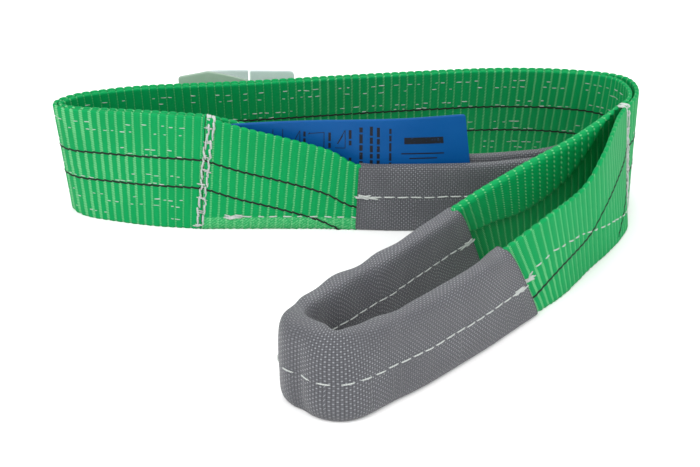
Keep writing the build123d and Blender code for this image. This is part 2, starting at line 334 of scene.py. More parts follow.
def folded(band, lengths, widths, tuck=0.0, stretch=1.0):
    """Webbing whose lower edge is folded inwards and up, by as much as its upper edge is low."""
    top = band.top(lengths) - 2 * tuck
    spare = np.maximum(web_width - top, 0.0)
    partly = np.pi / 2 * np.cbrt(spare / (fold_radius * (np.pi / 2 - 1)))
    turn = np.clip(np.where(partly < np.pi / 2, partly, spare / fold_radius + 1), 0, np.pi)
    straight_part = top - fold_radius * np.sin(np.minimum(turn, np.pi / 2))
    angle = np.clip((widths - straight_part) / fold_radius, 0, turn)
    flap = np.maximum(widths - straight_part - fold_radius * turn, 0) * stretch
    heights = top - np.minimum(widths, straight_part) - fold_radius * np.sin(angle) + flap
    depths = -fold_radius * (1 - np.cos(angle))
    return heights + tuck, depths


def hem_relief(heights):
    """Swelling below a hem's seam, and the groove that the seam pulls in."""
    return 0.5 * np.exp(-((heights - 3.6) / 1.9) ** 2) - 0.3 * np.exp(-((heights - hem_height) / 0.7) ** 2)


class Web:
    """Webbing along a band: a profile across it, how deep its middle layer lies, and a sleeve's mouth."""

    def __init__(self, band, depth, profile=straight, upside_down=False, mouth=None,
                 stretch=None, parting=None, hemmed=False):
        self.band = band
        self.depth = depth
        self.profile = profile
        self.upside_down = upside_down
        self.mouth = mouth
        self.stretch = stretch or (lambda lengths: 1.0)
        self.parting = parting or (lambda lengths: 0.0)
        self.hemmed = hemmed

    def inside(self, lengths):
        """0 outside the wear sleeve, growing to 1 a few millimetres inside its mouth."""
        if self.mouth is None:
            return np.zeros_like(lengths)
        where, towards = self.mouth
        share = np.clip((lengths - where) * towards / 3.0, 0, 1)
        return share * share * (3 - 2 * share)

    def layer(self, lengths, widths):
        """Height and depth of the middle layer."""
        inside = self.inside(lengths)
        if self.profile is straight:
            heights, depths = straight(self.band, lengths, widths)
        else:
            heights, depths = folded(self.band, lengths, widths, 1.3 * inside, self.stretch(lengths))
        if self.upside_down:
            heights = self.band.top(lengths) - heights
        return heights, depths + self.depth - 0.25 * inside - self.parting(lengths)

    def face(self, lengths, widths, lift):
        """Points at a lift from the middle layer, in millimetres."""
        lengths, widths = grids(lengths, widths)
        nudge = 0.05
        heights, depths = self.layer(lengths, widths)
        rise, reach = (b - a for a, b in zip(self.layer(lengths, widths - nudge),
                                             self.layer(lengths, widths + nudge)))
        size = np.hypot(rise, reach)
        if self.hemmed:
            lift = lift + hem_relief(heights)
        turn = -1 if self.upside_down else 1
        heights = heights + lift * turn * reach / size
        depths = depths - lift * turn * rise / size
        return self.band.point(lengths, heights, depths)


def smooth_noise(lengths, widths, seed, size, waves=5):
    """Slow waves in two directions, between about -1 and 1."""
    draw = np.random.default_rng(seed)
    total = 0.0
    for _ in range(waves):
        angle = draw.uniform(0, np.pi)
        reach = size * draw.uniform(0.7, 1.6)
        phase = draw.uniform(0, 2 * np.pi)
        total = total + np.sin(2 * np.pi * (lengths * np.cos(angle) + widths * np.sin(angle)) / reach + phase)
    return total / waves


def slab(name, web, start, end):
    """Ribbed cloth between two lengths along its band, with both faces and rounded edges."""
    step = rib_pitch / 8
    inner = np.arange(math.ceil(start / step), math.floor(end / step) + 1) * step
    inner = inner[(inner > start + 0.1) & (inner < end - 0.1)]
    lengths = np.concatenate([[start], inner, [end]])[:, None]
    ends = np.array([0.0, 0.25, 0.7])
    widths = np.concatenate([ends, np.arange(1.5, web_width - 1.4, 1.0), web_width - ends[::-1]])
    rounding = np.ones(len(widths))
    rounding[[0, -1]] = 0.25
    rounding[[1, -2]] = 0.75
    crown = ribs(lengths)
    reach = np.zeros(len(widths))
    reach[[0, 1]] = -edge_rise
    reach[[-1, -2]] = edge_rise
    spread = widths[None, :] + (crown - 0.6) * reach[None, :]
    thin = 1 - 0.16 * web.inside(lengths)
    half = (web_thick / 2 * thin - rib_rise * (1 - crown)) * rounding[None, :]
    outer = web.face(lengths, spread, half)
    under = web.face(lengths, spread, -half)
    points = np.concatenate([outer, under[:, ::-1]], axis=1)
    along = np.repeat(lengths, 2 * len(widths), axis=1)
    across = np.tile(np.concatenate([widths, widths[::-1] + 100]), (len(lengths), 1))
    around = 2 * len(widths)
    faces = ring_faces(len(lengths), around)
    last = (len(lengths) - 1) * around
    for j in range(len(widths) - 1):
        cap = (j, j + 1, around - 2 - j, around - 1 - j)
        faces.append(cap[::-1])
        faces.append(tuple(last + k for k in cap))
    points = over_floor(points.reshape(-1, 3))
    return add_mesh(name, points, faces, np.stack([along.ravel(), across.ravel()], axis=1))


def capsule_template(sides):
    """Unit stitch along x from -0.5 to 0.5 that sinks at both ends, as (points, faces)."""
    stops = [(-0.5, 0.0, -1.3), (-0.46, 0.6, -0.7), (-0.3, 1.0, 0.0), (0.0, 1.0, 0.25),
             (0.3, 1.0, 0.0), (0.46, 0.6, -0.7), (0.5, 0.0, -1.3)]
    points = []
    for x, radius, lift in stops:
        for k in range(sides):
            angle = 2 * math.pi * k / sides
            points.append((x, radius * math.cos(angle), radius * math.sin(angle) + lift))
    return np.array(points), ring_faces(len(stops), sides)


def stitches(name, centres, along, outward, lengths, radii, seed):
    """Many short threads in one mesh. along and outward are unit vectors for each thread."""
    sides = 6
    template, faces = capsule_template(sides)
    draw = np.random.default_rng(seed)
    count = len(centres)
    outward = outward - np.sum(outward * along, axis=1)[:, None] * along
    outward = outward / np.linalg.norm(outward, axis=1)[:, None]
    side = np.cross(outward, along)
    turn = 0.08 * draw.uniform(-1, 1, count)[:, None]
    along = along * np.cos(turn) + side * np.sin(turn)
    side = np.cross(outward, along)
    points = (
        centres[:, None, :]
        + template[None, :, 0:1] * lengths[:, None, None] * along[:, None, :]
        + template[None, :, 1:2] * radii[:, None, None] * side[:, None, :]
        + template[None, :, 2:3] * radii[:, None, None] * outward[:, None, :]
    )
    points = over_floor(points).reshape(-1, 3)
    every = np.array(faces)[None, :, :] + (np.arange(count) * len(template))[:, None, None]
    uvs = np.stack([template[:, 0], np.tile(np.arange(sides) / sides, len(template) // sides)], axis=1)
    return add_mesh(name, points, every.reshape(-1, 4).tolist(), np.tile(uvs, (count, 1)))


# ---------------------------------------------------------------- materials


class Nodes:
    """Small helper that adds nodes to one material and links them."""

    def __init__(self, name):
        self.material = bpy.data.materials.new(name)
        self.material.use_nodes = True
        self.tree = self.material.node_tree
        self.shader = self.tree.nodes["Principled BSDF"]

    def put(self, value, socket):
        if isinstance(value, bpy.types.NodeSocket):
            self.tree.links.new(value, socket)
        else:
            socket.default_value = value

    def math(self, operation, *values):
        node = self.tree.nodes.new("ShaderNodeMath")
        node.operation = operation
        for value, socket in zip(values, node.inputs):
            self.put(value, socket)
        return node.outputs[0]

    def times(self, one, two):
        return self.math("MULTIPLY", one, two)

    def plus(self, one, two):
        return self.math("ADD", one, two)

    def scaled(self, value, factor, offset):
        """value times factor, plus offset."""
        return self.math("MULTIPLY_ADD", value, factor, offset)

    def ramp(self, value, low, high, new_low=0.0, new_high=1.0):
        """Smooth step from low to high."""
        node = self.tree.nodes.new("ShaderNodeMapRange")
        node.interpolation_type = "SMOOTHSTEP"
        for number, socket in zip((value, low, high, new_low, new_high), node.inputs):
            self.put(number, socket)
        return node.outputs[0]

    def mix(self, share, one, two):
        """Colour between one and two."""
        node = self.tree.nodes.new("ShaderNodeMix")
        node.data_type = "RGBA"
        self.put(share, node.inputs[0])
        for colour, socket in ((one, node.inputs[6]), (two, node.inputs[7])):
            self.put((*colour, 1.0) if isinstance(colour, tuple) else colour, socket)
        return node.outputs[2]

    def cloth(self):
        """Length and width on the cloth, in millimetres."""
        node = self.tree.nodes.new("ShaderNodeUVMap")
        node.uv_map = "cloth"
        return self.split(node.outputs[0])[0:2]

    def place(self):
        """Place in the frame, in metres."""
        return self.tree.nodes.new("ShaderNodeTexCoord").outputs["Object"]

    def split(self, vector):
        node = self.tree.nodes.new("ShaderNodeSeparateXYZ")
        self.put(vector, node.inputs[0])
        return node.outputs

    def together(self, x, y, z=0.0):
        node = self.tree.nodes.new("ShaderNodeCombineXYZ")
        for value, socket in zip((x, y, z), node.inputs):
            self.put(value, socket)
        return node.outputs[0]

    def noise(self, place, scale, detail=2.0, roughness=0.5):
        node = self.tree.nodes.new("ShaderNodeTexNoise")
        self.put(place, node.inputs["Vector"])
        node.inputs["Scale"].default_value = scale
        node.inputs["Detail"].default_value = detail
        node.inputs["Roughness"].default_value = roughness
        return node.outputs[0]

    def wave(self, value, pitch):
        """Sine wave from 0 to 1."""
        turned = self.scaled(value, 2 * math.pi / pitch, 0.0)
        return self.scaled(self.math("SINE", turned), 0.5, 0.5)

    def bump(self, height, distance, strength=1.0):
        node = self.tree.nodes.new("ShaderNodeBump")
        node.inputs["Strength"].default_value = strength
        node.inputs["Distance"].default_value = distance * MM
        self.put(height, node.inputs["Height"])
        self.tree.links.new(node.outputs[0], self.shader.inputs["Normal"])

    def finish(self, colour, roughness, sheen=0.0, specular=0.5):
        self.put((*colour, 1.0) if isinstance(colour, tuple) else colour, self.shader.inputs["Base Color"])
        self.put(roughness, self.shader.inputs["Roughness"])
        self.shader.inputs["Sheen Weight"].default_value = sheen
        self.shader.inputs["Sheen Roughness"].default_value = 0.4
        self.shader.inputs["Specular IOR Level"].default_value = specular
        return self.material


def webbing_material(name, hemmed=False):
    """Green polyester webbing: long warp floats on each rib, and bright lines of binding yarn between the
    ribs that are partly their own pale colour and partly painted highlight, widened where light falls.
    """
    n = Nodes(name)
    along, across = n.cloth()
    ragged = n.noise(n.together(along, across), 0.9, 3.0)
    sway = n.scaled(n.noise(n.together(0.0, across), 0.25), 0.6, -0.3)
    rib = n.math("FRACT", n.math("DIVIDE", n.plus(along, sway), rib_pitch))
    from_groove = n.math("ABSOLUTE", n.math("SUBTRACT", rib, 0.5))
    slant = n.scaled(along, 0.45, across)
    yarn = n.wave(slant, yarn_pitch)
    # Painted light: the bright lines are widened and brightened on the right bend and right half of the rear
    # run, to lift their shade, and on the left side, and narrowed again towards the body's front end.
    rear_painted_light = n.ramp(along, body.length_at(8.9), body.length_at(8.2), 0.0, 0.42)
    left_painted_highlight = n.ramp(along, body.length_at(11.6), body.length_at(13.4))
    front_highlight_cut = n.ramp(along, body.length_at(14.3), body.total, 0.0, -0.72)
    wide = n.plus(n.plus(rear_painted_light, left_painted_highlight), front_highlight_cut)
    patchy = n.ramp(n.noise(n.together(n.times(along, 0.6), across), 0.03, 2.0), 0.36, 0.62)
    wide = n.times(wide, n.scaled(patchy, 0.45, 0.62))
    reach = n.scaled(wide, 0.17, n.scaled(yarn, 0.1, -0.01))
    inside = n.plus(from_groove, reach)
    groove = n.ramp(inside, 0.485, 0.56)
    dash = n.ramp(n.scaled(ragged, 0.7, n.math("SUBTRACT", yarn, 0.35)), 0.2, 0.9)
    solid = n.scaled(wide, 0.4, 0.12)
    # Lines between the ribs: the binding yarns' own paler tone plus painted highlight.
    yarn_line_and_highlight = n.times(groove, n.math("MAXIMUM", dash, solid))
    bright = n.times(yarn_line_and_highlight, n.scaled(wide, 0.3, 0.58))
    stretched = n.noise(n.together(n.times(along, 0.12), across), 2.6, 3.0)
    cloud = n.noise(n.together(along, across), 0.03, 2.0)
    float_share = n.scaled(cloud, 0.5, n.times(stretched, 0.5))
    colour = n.mix(bright, n.mix(float_share, web_dark, web_mid), web_yarn_highlight)
    height = n.scaled(yarn, 0.4, n.times(ragged, 0.5))
    height = n.scaled(n.times(dash, groove), 0.9, height)
    if hemmed:
        below_seam = n.ramp(n.split(n.place())[2], (hem_height + 0.2) * MM, (hem_height - 0.8) * MM)
        hatch = n.wave(n.scaled(along, 1.1, across), 1.5)
        tuft = n.times(hatch, n.ramp(ragged, 0.35, 0.65))
        # Below the hem seam the colour is lifted towards the pale colour: painted highlight on the swelling
        # there, with the fold's real hatched texture on top.
        colour = n.mix(n.times(below_seam, n.scaled(tuft, 0.5, 0.1)), colour, web_yarn_highlight)
        height = n.scaled(n.times(hatch, below_seam), 0.7, height)
    n.bump(height, 0.2, 0.8)
    rough = n.scaled(stretched, 0.2, 0.45)
    return n.finish(colour, rough, sheen=0.0, specular=0.1)


def sleeve_material():
    """Grey tubular cloth: a basket weave whose raised yarns carry painted highlights as rows of dots, with
    painted shade in the low parts between them.
    """
    n = Nodes("sleeve_cloth")
    along, across = n.cloth()
    drift = n.noise(n.together(along, across), 0.05, 1.0)
    u = n.math("DIVIDE", n.scaled(drift, 1.5, along), weave_pitch)
    v = n.math("DIVIDE", n.scaled(drift, -1.5, across), weave_pitch)
    cell_u = n.math("FLOOR", u)
    cell_v = n.math("FLOOR", v)
    odd = n.math("MODULO", n.plus(n.plus(cell_u, cell_v), 4000.0), 2.0)
    swell_u = n.math("SINE", n.times(n.math("FRACT", u), math.pi))
    swell_v = n.math("SINE", n.times(n.math("FRACT", v), math.pi))
    warp = n.times(n.math("POWER", swell_v, 0.6), swell_u)
    weft = n.times(n.math("POWER", swell_u, 0.6), swell_v)
    over = n.times(warp, odd)
    under = n.times(weft, n.math("SUBTRACT", 1.0, odd))
    height = n.scaled(under, 0.45, over)
    fibre = n.noise(n.together(n.times(along, 0.6), n.times(across, 3.0)), 2.2, 2.0)
    patchy = n.noise(n.together(along, across), 0.09, 2.0)
    base = n.mix(patchy, sleeve_dark, sleeve_mid)
    # Painted highlight: the crowns of raised yarns are lifted towards a light grey, in patches.
    crown = n.ramp(n.times(over, n.scaled(fibre, 0.6, 0.7)), 0.55, 1.0)
    shown = n.ramp(n.noise(n.together(along, across), 0.035, 2.0), 0.38, 0.62, 0.3, 1.0)
    colour = n.mix(n.times(crown, shown), base, sleeve_highlight)
    # Painted shade: low parts of the weave are darkened.
    pit_shade = n.ramp(height, 0.0, 0.35)
    colour = n.mix(pit_shade, sleeve_pit_shade, colour)
    n.bump(n.scaled(fibre, 0.15, height), 0.35, 0.9)
    rough = n.scaled(crown, -0.22, 0.62)
    return n.finish(colour, rough, sheen=0.15, specular=0.45)


def thread_material(name, dark, light, roughness, sheen):
    """Twisted sewing thread."""
    n = Nodes(name)
    along, around = n.cloth()
    twist = n.wave(n.scaled(along, 6.0, around), 1.0)
    patchy = n.noise(n.place(), 260.0, 2.0)
    share = n.scaled(twist, 0.45, n.times(patchy, 0.55))
    n.bump(twist, 0.12, 0.6)
    return n.finish(n.mix(share, dark, light), roughness, sheen=sheen, specular=0.35)


def label_material():
    """Smooth coated label cloth with a fine weave and a soft shine."""
    n = Nodes("label_cloth")
    along, across = n.cloth()
    fine = n.times(n.wave(along, 0.55), n.wave(across, 0.45))
    crease = n.noise(n.together(n.times(along, 0.5), across), 0.05, 3.0)
    colour = n.mix(n.scaled(fine, 0.25, n.times(crease, 0.6)), label_dark, label_light)
    n.bump(n.scaled(crease, 3.0, fine), 0.06, 0.5)
    return n.finish(colour, n.ramp(crease, 0.3, 0.7, 0.4, 0.55), sheen=0.0, specular=0.2)


def print_material():
    """Thin dark ink with small worn spots."""
    n = Nodes("label_ink")
    worn = n.ramp(n.noise(n.place(), 900.0, 3.0, 0.7), 0.58, 0.75)
    return n.finish(n.mix(worn, (0.006, 0.008, 0.014), (0.012, 0.05, 0.14)), 0.5, specular=0.3)


def tag_material(name, dark, light):
    """Thin coated cloth of the tag, paler along its crease."""
    n = Nodes(name)
    along, across = n.cloth()
    weave = n.times(n.wave(along, 0.7), n.wave(across, 0.7))
    patchy = n.noise(n.together(along, across), 0.12, 3.0)
    colour = n.mix(n.scaled(weave, 0.2, n.times(patchy, 0.8)), dark, light)
    from_crease = n.math("ABSOLUTE", n.math("SUBTRACT", along, crease + 0.3))
    colour = n.mix(n.ramp(from_crease, 0.9, 0.3, 0.0, 0.9), colour, (0.86, 0.9, 0.9))
    n.bump(n.scaled(patchy, 0.5, weave), 0.05, 0.5)
    return n.finish(colour, n.scaled(patchy, 0.15, 0.45), sheen=0.1, specular=0.4)


def floor_material():
    """Plain pale floor."""
    n = Nodes("floor_paint")
    cloud = n.noise(n.place(), 1.5, 2.0)
    return n.finish(n.mix(cloud, (0.90, 0.90, 0.90), (0.92, 0.92, 0.92)), 0.9, specular=0.1)


# Colours, as light that the surface gives back, and the pitches of yarns and weave
web_dark = (0.0, 0.21, 0.05)
web_mid = (0.0, 0.30, 0.085)
# Pale colour of the binding yarns, which also serves as painted highlight.
web_yarn_highlight = (0.19, 0.56, 0.25)
yarn_pitch = 0.95
weave_pitch = 1.05
# Painted shade in the low parts of the sleeve's weave.
sleeve_pit_shade = (0.035, 0.036, 0.043)
sleeve_dark = (0.066, 0.068, 0.078)
sleeve_mid = (0.098, 0.10, 0.112)
# Painted highlight on the sleeve's raised yarns.
sleeve_highlight = (0.24, 0.25, 0.27)
label_dark = (0.0, 0.052, 0.20)
label_light = (0.0, 0.10, 0.34)

webbing = webbing_material("webbing")
hemmed_webbing = webbing_material("hemmed_webbing", True)
sleeve_cloth = sleeve_material()
white_thread = thread_material("white_thread", (0.29, 0.31, 0.30), (0.52, 0.55, 0.53), 0.6, 0.15)
black_thread = thread_material("black_thread", (0.002, 0.002, 0.003), (0.008, 0.008, 0.009), 0.8, 0.0)
label_cloth = label_material()
label_ink = print_material()
# Painted shade: the front leaf's cloth is a darker, green-tinged copy of the tag's pale cloth, standing for
# shadow and green light thrown back from the webbing.
tag_in_green_shade = tag_material("tag_in_green_shade", (0.27, 0.37, 0.29), (0.40, 0.48, 0.42))
tag_back = tag_material("tag_back", (0.50, 0.55, 0.57), (0.66, 0.70, 0.72))


# ---------------------------------------------------------------- webbing and threads

def gathered(lengths, middle, reach):
    """1 at a place and 0 further away than reach."""
    share = np.clip(1 - np.abs(lengths - middle) / reach, 0, 1)
    return share * share * (3 - 2 * share)


def bend_parting(lengths):
    """How far the inner ply stands away from the outer one round the right bend."""
    return 2.4 * gathered(lengths, body.length_at(3.0), 24.0)


rear_split_length = body.length_at(rear_split)
split = round(rear_split_length / rib_pitch) * rib_pitch
outer_web = Web(body, ply_depth)
inner_web = Web(body, -ply_depth, parting=bend_parting)
left_front = Web(left_eye, strand_depth, folded, mouth=(left_eye.length_at(left_mouths[0]), 1), hemmed=True)
left_rear = Web(left_eye, strand_depth, folded, mouth=(left_eye.length_at(left_mouths[1]), -1))


def far_stretch(lengths):
    """The far strand's turned-down edge is narrow at the sleeve and wider half way to the bar-tack."""
    away = right_eye.length_at(right_mouths[0]) - lengths
    return np.interp(away, [0, 18, 50, 75, 100], [0.62, 1.12, 2.7, 4.2, 4.2])


right_far = Web(right_eye, strand_depth, folded, True, (right_eye.length_at(right_mouths[0]), 1), far_stretch)
right_near = Web(right_eye, strand_depth, folded, mouth=(right_eye.length_at(right_mouths[1]), -1))
sleeved = 14.0

body_halves = (("right", 0.0, split, "right_bend"), ("left", split, body.total, "left_bend"))
both_faces = ((outer_web, 1), (inner_web, -1))
for side, start, end, bend in body_halves:
    for face, web in (("outer", outer_web), ("inner", inner_web)):
        nodes = (f"rear_{face}_ply", f"{side}_run_{face}_ply")
        dress(slab(f"{side}_{face}_web", web, start, end), webbing, nodes, bend)

strands = (
    ("left_front", left_front, 0.0, left_front.mouth[0] + sleeved, "left_eye"),
    ("left_rear", left_rear, left_rear.mouth[0] - sleeved, left_eye.total, "left_eye"),
    ("right_far", right_far, 0.0, right_far.mouth[0] + sleeved, "right_eye"),
    ("right_near", right_near, right_near.mouth[0] - sleeved, right_eye.total, "right_eye"),
)
for name, web, start, end, bend in strands:
    material = hemmed_webbing if web.hemmed else webbing
    piece = slab(name + "_web", web, start, end)
    dress(piece, material, (name + "_strand", name + "_hem"), bend)


def face_lift(lengths):
    """How far the ribbed surface stands from the middle layer."""
    return web_thick / 2 - rib_rise * (1 - ribs(lengths))


def yarns(name, runs):
    """Marker threads woven along the webbing: runs are (web, start, end, width from the edge, side)."""
    points, faces, uvs = [], [], []
    ring = 8
    angles = np.arange(ring) / ring * 2 * np.pi
    for web, start, end, width, side in runs:
        lengths = np.arange(start, end, rib_pitch / 8)
        drift = 0.18 * smooth_noise(lengths, 0.0, 7, 30.0)
        wobble = 0.22 * (2 * (lengths / rib_pitch % 1) - 1) + drift
        lift = (face_lift(lengths) + 0.02) * side
        width = (width(lengths) if callable(width) else width) + wobble
        middle = web.face(lengths, width, lift)
        above = web.face(lengths, width, lift + 0.5 * side)
        beside = web.face(lengths, width + 0.5, lift)
        out = (above - middle) * 2
        across = (beside - middle) * 2
        rings = (
            middle[:, None, :]
            + across[:, None, :] * (np.cos(angles) * marker_radius)[None, :, None]
            + out[:, None, :] * (np.sin(angles) * marker_radius * 0.45)[None, :, None]
        )
        base = sum(len(k) for k in points)
        points.append(rings.reshape(-1, 3))
        faces += bar_faces(len(lengths), ring, base)
        uvs.append(np.stack([np.repeat(lengths, ring), np.tile(angles / 6.3, len(lengths))], axis=1))
    return add_mesh(name, over_floor(np.concatenate(points)), faces, np.concatenate(uvs))


def mark(name, runs, nodes, bend):
    """Black marker threads as a dressed piece."""
    dress(yarns(name, runs), black_thread, nodes, bend)


def sew(name, groups, seed, nodes, bend=None, body_name=None):
    """White sewing threads as a dressed piece."""
    dress(stitches(name, *pile(groups), seed), white_thread, nodes, bend, body_name)


marker_widths = sorted(web_width - height for height in stripe_heights)
tack_room = 6.6
for side, start, end, bend in body_halves:
    runs = [(web, start, end, width, way) for web, way in both_faces for width in marker_widths]
    nodes = ("rear_marker_threads", f"{side}_run_marker_threads")
    mark(f"{side}_markers", runs, nodes, bend)

front_runs = [(left_front, 0.0, left_front.mouth[0] + 3.0, width, 1) for width in marker_widths]
mark("left_front_markers", front_runs, ("left_front_marker",), "left_eye")


def upper_marker(lengths):
    """Width at which the upper marker thread runs on the near strand: it drifts down to the sleeve."""
    away = right_eye.total - lengths
    return marker_widths[0] + np.interp(away, [0, 25, 45, 90], [0.0, 3.0, 5.5, 7.5])


def lower_marker(lengths):
    """The same for the lower marker thread, which soon reaches the folded edge."""
    away = right_eye.total - lengths
    return marker_widths[1] + np.interp(away, [0, 8, 30], [0.0, 2.0, 19.0])


near_runs = [(right_near, right_near.mouth[0] - 3.0, right_eye.total, upper_marker, 1),
             (right_near, right_eye.total - 30.0, right_eye.total, lower_marker, 1)]
mark("right_near_markers", near_runs, ("right_near_marker",), "right_eye")


def laid(before, after, middle, above):
    """Centres, directions and outward vectors of stitches; above is half a millimetre over the middle."""
    along = after - before
    along /= np.linalg.norm(along, axis=1)[:, None]
    return middle, along, (above - middle) * 2


def along_web(web, lengths, widths, span, side, sink=0.0):
    """Centres, directions and outward vectors of stitches that run along a web."""
    lift = (face_lift(lengths) - sink) * side
    before = web.face(lengths - span / 2, widths, lift)
    after = web.face(lengths + span / 2, widths, lift)
    return laid(before, after, web.face(lengths, widths, lift), web.face(lengths, widths, lift + 0.5 * side))


def across_web(web, lengths, widths, span, side, tilt):
    """The same for stitches that run across it; tilt leans each along the web."""
    lift = web_thick / 2 * side
    before = web.face(lengths - tilt, widths - span / 2, lift)
    after = web.face(lengths + tilt, widths + span / 2, lift)
    return laid(before, after, web.face(lengths, widths, lift), web.face(lengths, widths, lift + 0.5 * side))


def pile(groups):
    """Groups of (centres, directions, outward vectors, lengths, radii) as one."""
    return [np.concatenate([group[k] for group in groups]) for k in range(5)]


for side, start, end, bend in body_halves:
    draw = np.random.default_rng(11 if side == "right" else 12)
    low = start + (tack_room if side == "right" else 0)
    high = end - (tack_room if side == "left" else 0)
    groups = []
    for height in stitch_heights:
        for web, way in both_faces:
            places = (np.arange(math.ceil(low / rib_pitch), math.floor(high / rib_pitch)) + 0.5) * rib_pitch
            places = places[draw.uniform(0, 1, len(places)) < stitch_share]
            lengths = places + draw.uniform(-0.9, 0.9, len(places))
            widths = web_width - height + draw.uniform(-0.35, 0.35, len(places))
            spans = draw.uniform(1.5, 3.4, len(places))
            lines = along_web(web, lengths, widths, 1.0, way, 0.12)
            groups.append((*lines, spans, draw.uniform(0.2, 0.3, len(places))))
    nodes = ("rear_stitching", f"{side}_run_stitching")
    sew(f"{side}_stitching", groups, 21, nodes, bend)


class Joined:
    """The body's web up to the left bar-tack, and past it the strand that carries on."""

    def __init__(self, web, strand, start, towards):
        self.web = web
        self.strand = strand
        self.start = start
        self.towards = towards

    def face(self, lengths, widths, lift):
        past = np.asarray(lengths - body.total)
        on_body = self.web.face(lengths, widths, lift)
        on_strand = self.strand.face(self.start + self.towards * past, widths, lift * self.towards)
        return np.where((past > 0)[..., None], on_strand, on_body)


def bar_tack(faces, place, towards, nearest, lean, seed):
    """Two columns of long stitches across the body's end, tied by short cross stitches."""
    draw = np.random.default_rng(seed)
    groups = []
    for web, way in zip(faces, (1, -1)):
        for row in range(2):
            widths = np.arange(2.6, web_width - 1.5, 5.1) + 1.6 * row
            count = len(widths)
            widths = widths + draw.uniform(-0.5, 0.5, count)
            middle = place + towards * (nearest + 2.2 * row + lean * widths / web_width)
            lengths = middle + draw.uniform(-0.3, 0.3, count)
            tilt = draw.uniform(-0.45, 0.45, count) - towards * 0.1
            single = across_web(web, lengths, widths, 5.0, way, tilt)
            groups.append((*single, draw.uniform(4.6, 6.2, count), draw.uniform(0.42, 0.58, count)))
            doubled = across_web(web, lengths + draw.uniform(-0.5, 0.5, count), widths + 2.2, 5.0, way, -tilt)
            groups.append((*doubled, draw.uniform(2.0, 4.2, count), draw.uniform(0.25, 0.4, count)))
        knots = np.repeat(np.arange(4.5, web_width - 2, 7.6), 3) + draw.uniform(-0.6, 0.6, 24)
        lengths = place + towards * (nearest + 1.1 + lean * knots / web_width + draw.uniform(-1.4, 1.4, 24))
        lines = along_web(web, lengths, knots, 2.0, way, -0.3)
        groups.append((*lines, draw.uniform(1.5, 4.8, 24), draw.uniform(0.16, 0.34, 24)))
    over = place + towards * (nearest + np.array([-0.3, 0.2, 0.7, 1.7, 2.3, 2.9]))
    top = (faces[0].face(over, 0.2, 0.0) + faces[1].face(over, 0.2, 0.0)) / 2
    across = faces[0].face(over, 0.2, 0.0) - faces[1].face(over, 0.2, 0.0)
    across /= np.linalg.norm(across, axis=1)[:, None]
    upward = np.tile([0.0, 0.0, 1.0], (6, 1))
    groups.append((top, across, upward, draw.uniform(5.2, 5.9, 6), draw.uniform(0.45, 0.6, 6)))
    return groups


joined_faces = (Joined(outer_web, left_front, 0.0, 1), Joined(inner_web, left_rear, left_eye.total, -1))
tacks = (
    ("left", joined_faces, body.total, -1, -3.7, 3.6),
    ("right", (outer_web, inner_web), 0.0, 1, 0.5, 2.0),
)
for side, faces, place, towards, nearest, lean in tacks:
    groups = bar_tack(faces, place, towards, nearest, lean, 31)
    sew(f"{side}_tack_threads", groups, 31, (f"{side}_bar_tack",), body_name=f"{side}_run")


def knot(web_face, lengths, heights, seed, count):
    """Clump of threads where a seam starts: web_face gives points for lengths, heights and a lift."""
    draw = np.random.default_rng(seed)
    at = lengths + draw.uniform(-0.5, 0.5, count) * knot_length
    tall = heights + draw.uniform(-0.5, 0.5, count) * knot_height
    lift = draw.uniform(0.0, 0.3, count)
    lean = draw.uniform(-0.3, 0.3, count)
    before = web_face(at - 1.0, tall - lean, lift)
    after = web_face(at + 1.0, tall + lean, lift)
    lines = laid(before, after, web_face(at, tall, lift), web_face(at, tall, lift + 0.5))
    return *lines, draw.uniform(2.5, 6.0, count), draw.uniform(0.28, 0.42, count)


def hem_stitches(web, start, end, height, pitch, seed):
    """Running stitch on the outer face that holds a folded edge. height is a function of the lengths."""
    draw = np.random.default_rng(seed)
    lengths = np.arange(start + pitch / 2, end, pitch)
    before, after, middle, above = (
        web.face(at, web.band.top(at) - height(at), face_lift(at) - 0.02 + lift)
        for at, lift in ((lengths - 0.5, 0.0), (lengths + 0.5, 0.0), (lengths, 0.0), (lengths, 0.5))
    )
    count = len(lengths)
    return *laid(before, after, middle, above), draw.uniform(0.62, 0.8, count) * pitch, np.full(count, 0.36)


def front_hem_height(lengths):
    return np.full_like(lengths, hem_height)


def near_hem_height(lengths):
    """The near strand's seam is low at both ends and high between, where the fold is deep."""
    away = right_eye.total - lengths
    return np.interp(away, [0, 20, 45, 68, 88, 100, 118], [8.0, 11.0, 18.0, 25.0, 27.0, 23.0, 11.0])


def strand_knot(web, length, height, seed):
    """Clump of threads at the tack end of a hem seam."""
    def face(lengths, heights, lift):
        widths = web.band.top(lengths) - heights
        return web.face(lengths, widths, face_lift(lengths) + lift)
    return knot(face, length, height, seed, 18)


front_hem = (hem_stitches(left_front, 12.0, left_front.mouth[0], front_hem_height, 6.4, 41),
             strand_knot(left_front, 15.0, hem_height, 42))
sew("left_front_hem_threads", front_hem, 43, ("left_front_hem_seam",), "left_eye")
near_start = right_near.mouth[0] + 4.0
near_hem = (hem_stitches(right_near, near_start, right_eye.total - 3.0, near_hem_height, 5.6, 44),
            strand_knot(right_near, near_start, near_hem_height(near_start), 45))
sew("right_near_hem_threads", near_hem, 46, ("right_near_hem_seam",), "right_eye")


# ---------------------------------------------------------------- wear sleeves


